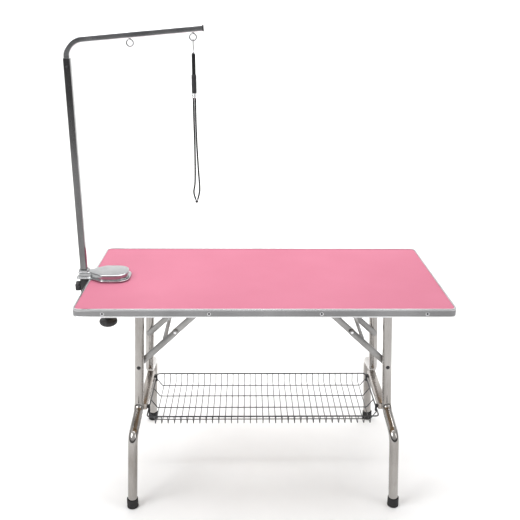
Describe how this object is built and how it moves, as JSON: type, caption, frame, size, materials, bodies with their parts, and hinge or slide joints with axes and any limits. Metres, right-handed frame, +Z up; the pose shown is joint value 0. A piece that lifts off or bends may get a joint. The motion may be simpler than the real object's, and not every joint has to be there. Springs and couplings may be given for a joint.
{
  "type": "grooming table",
  "caption": "Folding pet grooming table with a padded top, folding leg frames and braces, a wire shelf, and a clamp-on overhead arm carrying a noose.",
  "frame": {"origin": "centre of the bounding box at floor level, with the noose cords left out", "axes": "+X along the table top's length, away from the arm's post; +Z up; -Y is the front, where the wide knobs face out"},
  "size_m": [1.2516, 0.6, 1.5803],
  "materials": {
    "steel": "bright polished",
    "alu": "satin anodised",
    "wood": "plain board",
    "pink": "fine textured",
    "cast": "satin grey",
    "black": "matte",
    "zinc": "plated",
    "nylon": "woven"
  },
  "bodies": {
    "table": {"table_board": "wood", "rubber_mat": "pink", "edge_trim": "alu", "leg_hinge_left": "steel", "leg_hinge_right": "steel", "brace_hinge_left": "steel", "brace_hinge_right": "steel", "basket_floor": "zinc", "basket_wall_front": "zinc", "basket_wall_rear": "zinc", "basket_end_left": "zinc", "basket_end_right": "zinc", "clamp_base": "cast", "post_socket": "black", "clamp_frame": "black"},
    "leg_frame_left": {"leg_shaft_left": "steel", "leg_left_front": "steel", "leg_left_rear": "steel", "foot_left_front": "black", "foot_left_rear": "black", "crossbar_left": "steel", "basket_hook_left_front": "black", "basket_hook_left_rear": "black"},
    "upper_links_left": {"brace_upper_left_front": "steel", "brace_upper_left_rear": "steel"},
    "lower_links_left": {"brace_lower_left_front": "steel", "brace_lower_left_rear": "steel", "knee_bar_left": "steel"},
    "leg_frame_right": {"leg_shaft_right": "steel", "leg_right_front": "steel", "leg_right_rear": "steel", "foot_right_front": "black", "foot_right_rear": "black", "crossbar_right": "steel", "basket_hook_right_front": "black", "basket_hook_right_rear": "black"},
    "upper_links_right": {"brace_upper_right_front": "steel", "brace_upper_right_rear": "steel"},
    "lower_links_right": {"brace_lower_right_front": "steel", "brace_lower_right_rear": "steel", "knee_bar_right": "steel"},
    "post": {"arm_post": "steel"},
    "arm": {"arm_top": "steel", "arm_end_cap": "black", "eye_inner": "zinc", "eye_outer": "zinc"},
    "noose": {"snap_hook": "zinc", "hook_swivel": "zinc", "noose_strap": "nylon", "noose_cord_left": "nylon", "noose_cord_right": "nylon", "noose_bead": "black"},
    "slider": {"noose_slider": "nylon", "noose_ferrule": "zinc"},
    "pad": {"clamp_pad": "black"},
    "clamp_handle": {"clamp_screw": "zinc", "clamp_knob": "black"},
    "lock_travel": {"lock_screw": "zinc"},
    "lock_handle": {"lock_knob": "black"}
  },
  "joints": [
    {"name": "fold_left", "type": "hinge", "parent": "table", "child": "leg_frame_left", "pos_m": [-0.3877, 0, 0.704], "axis": [0, -1, 0], "range_deg": [0, 90]},
    {"name": "fold_right", "type": "hinge", "parent": "table", "child": "leg_frame_right", "pos_m": [0.4393, 0, 0.704], "axis": [0, 1, 0], "range_deg": [0, 84]},
    {"name": "upper_link_left", "type": "hinge", "parent": "table", "child": "upper_links_left", "pos_m": [-0.1522, 0, 0.704], "axis": [0, 1, 0], "range_deg": [0, 42.68]},
    {"name": "knee_left", "type": "hinge", "parent": "upper_links_left", "child": "lower_links_left", "pos_m": [-0.27693, 0, 0.58661], "axis": [0, -1, 0], "range_deg": [0, 175.6]},
    {"name": "upper_link_right", "type": "hinge", "parent": "table", "child": "upper_links_right", "pos_m": [0.2038, 0, 0.704], "axis": [0, -1, 0], "range_deg": [0, 41.55]},
    {"name": "knee_right", "type": "hinge", "parent": "upper_links_right", "child": "lower_links_right", "pos_m": [0.32853, 0, 0.58661], "axis": [0, 1, 0], "range_deg": [0, 167.33]},
    {"name": "arm_height", "type": "slide", "parent": "table", "child": "post", "axis": [0, 0, 1], "range_m": [-0.22, 0.08]},
    {"name": "arm_extend", "type": "slide", "parent": "post", "child": "arm", "axis": [0, 0, 1], "range_m": [0, 0.12]},
    {"name": "noose_swing", "type": "hinge", "parent": "arm", "child": "noose", "pos_m": [-0.1997, -0.016, 1.53305], "axis": [1, 0, 0], "range_deg": [-60, 60]},
    {"name": "noose_slide", "type": "slide", "parent": "noose", "child": "slider", "axis": [0, 0, -1], "range_m": [0, 0.06]},
    {"name": "clamp_travel", "type": "slide", "parent": "table", "child": "pad", "axis": [0, 0, -1], "range_m": [0, 0.014]},
    {"name": "clamp_turn", "type": "hinge", "parent": "pad", "child": "clamp_handle", "pos_m": [-0.5222, -0.016, 0.646], "axis": [0, 0, 1], "range_deg": [0, 2880.5]},
    {"name": "lock_travel", "type": "slide", "parent": "table", "child": "lock_travel", "axis": [-1, 0, 0], "range_m": [0, 0.0025]},
    {"name": "lock_turn", "type": "hinge", "parent": "lock_travel", "child": "lock_handle", "pos_m": [-0.6132, -0.016, 0.716], "axis": [1, 0, 0], "range_deg": [0, 720.5]}
  ],
  "couplings": [
    {"joint": "upper_link_left", "follows": "fold_left", "ratio": 0.47401},
    {"joint": "knee_left", "follows": "fold_left", "ratio": 1.9509},
    {"joint": "upper_link_right", "follows": "fold_right", "ratio": 0.4944},
    {"joint": "knee_right", "follows": "fold_right", "ratio": 1.9918},
    {"joint": "clamp_turn", "follows": "clamp_travel", "rad_per_m": 3590.4},
    {"joint": "lock_turn", "follows": "lock_travel", "rad_per_m": 5026.6}
  ]
}
